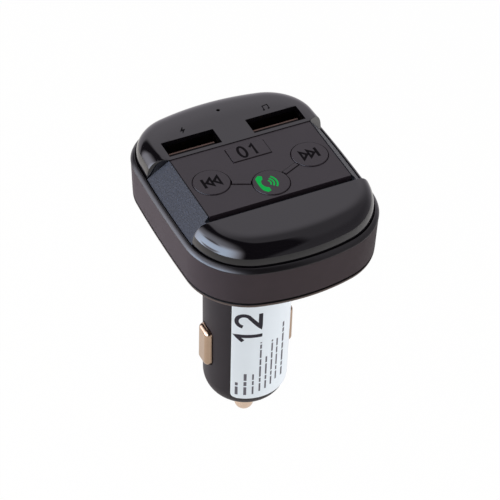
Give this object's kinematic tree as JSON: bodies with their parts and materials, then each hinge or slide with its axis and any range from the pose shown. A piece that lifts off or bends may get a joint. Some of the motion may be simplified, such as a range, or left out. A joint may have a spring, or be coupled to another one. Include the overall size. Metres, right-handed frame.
{
  "type": "car fm transmitter",
  "caption": "Twelve volt socket plug with sprung contacts that carries a rounded head with display window, keys and USB ports.",
  "frame": {"origin": "on the plug's axis, at the underside of the head, where the plug's shoulder stops", "axes": "+Z along the plug's axis out of the socket, towards the keys; +Y towards the USB ports; +X to the reader's right"},
  "size_m": [0.0462, 0.0573, 0.0793],
  "materials": {
    "matte_shell": "fine moulded grain",
    "gloss_shell": "smooth smoked gloss",
    "flank_texture": "fine woven texture",
    "panel_plastic": "satin moulded",
    "barrel_plastic": "satin moulded",
    "black_plastic": "moulded black",
    "stem_plastic": "moulded",
    "pale_plastic": "moulded",
    "nickel": "pressed and nickel plated",
    "steel": "bright sheet and wire",
    "gold_contact": "gold plated strip",
    "circuit_board": "solder mask",
    "chip_black": "moulded epoxy",
    "can_sleeve": "printed sleeve left bare",
    "label_film": "silver white film, bare"
  },
  "bodies": {
    "root": {"bottom_cover": "matte_shell", "mid_housing": "matte_shell", "trim_ring": "gloss_shell", "key_deck": "flank_texture", "key_panel": "panel_plastic", "key_links": "panel_plastic", "usb_cap": "gloss_shell", "display_window": "gloss_shell", "previous_switch": "black_plastic", "next_switch": "black_plastic", "call_switch": "black_plastic", "channel_switch": "black_plastic", "main_board": "circuit_board", "board_screws": "steel", "board_header": "black_plastic", "display_module": "pale_plastic", "radio_chip": "chip_black", "crystal": "steel", "microphone": "steel", "usb_shell_left": "steel", "usb_shell_right": "steel", "usb_tongue_left": "black_plastic", "usb_tongue_right": "black_plastic", "usb_contacts_left": "gold_contact", "usb_contacts_right": "gold_contact", "power_board": "circuit_board", "inductor": "chip_black", "input_capacitor": "can_sleeve", "regulator_chip": "chip_black", "plug_barrel": "barrel_plastic", "left_contact_spring": "steel", "right_contact_spring": "steel", "tip_spring": "steel", "tip_seat": "nickel", "label": "label_film"},
    "previous_key": {"previous_button": "panel_plastic", "previous_switch_stem": "stem_plastic"},
    "next_key": {"next_button": "panel_plastic", "next_switch_stem": "stem_plastic"},
    "call_key": {"call_button": "panel_plastic", "call_switch_stem": "stem_plastic"},
    "channel_key": {"channel_button": "panel_plastic", "channel_switch_stem": "stem_plastic"},
    "left_contact": {"side_contact_left": "nickel"},
    "right_contact": {"side_contact_right": "nickel"},
    "tip": {"center_tip": "nickel"}
  },
  "joints": [
    {"name": "previous_press", "type": "slide", "parent": "root", "child": "previous_key", "axis": [0, 0, -1], "range_m": [0, 0.0004], "stiffness_N_per_m": 2000, "springref_m": -0.0004},
    {"name": "next_press", "type": "slide", "parent": "root", "child": "next_key", "axis": [0, 0, -1], "range_m": [0, 0.0004], "stiffness_N_per_m": 2000, "springref_m": -0.0004},
    {"name": "call_press", "type": "slide", "parent": "root", "child": "call_key", "axis": [0, 0, -1], "range_m": [0, 0.0004], "stiffness_N_per_m": 2000, "springref_m": -0.0004},
    {"name": "channel_press", "type": "slide", "parent": "root", "child": "channel_key", "axis": [0, 0, -1], "range_m": [0, 0.0004], "stiffness_N_per_m": 2000, "springref_m": -0.0004},
    {"name": "left_contact_press", "type": "slide", "parent": "root", "child": "left_contact", "axis": [1, 0, 0], "range_m": [0, 0.0014], "stiffness_N_per_m": 2000, "springref_m": -0.001, "deforming": ["left_contact_spring"]},
    {"name": "right_contact_press", "type": "slide", "parent": "root", "child": "right_contact", "axis": [-1, 0, 0], "range_m": [0, 0.0014], "stiffness_N_per_m": 2000, "springref_m": -0.001, "deforming": ["right_contact_spring"]},
    {"name": "tip_press", "type": "slide", "parent": "root", "child": "tip", "axis": [0, 0, 1], "range_m": [0, 0.004], "stiffness_N_per_m": 1500, "springref_m": -0.002, "deforming": ["tip_spring"]}
  ]
}
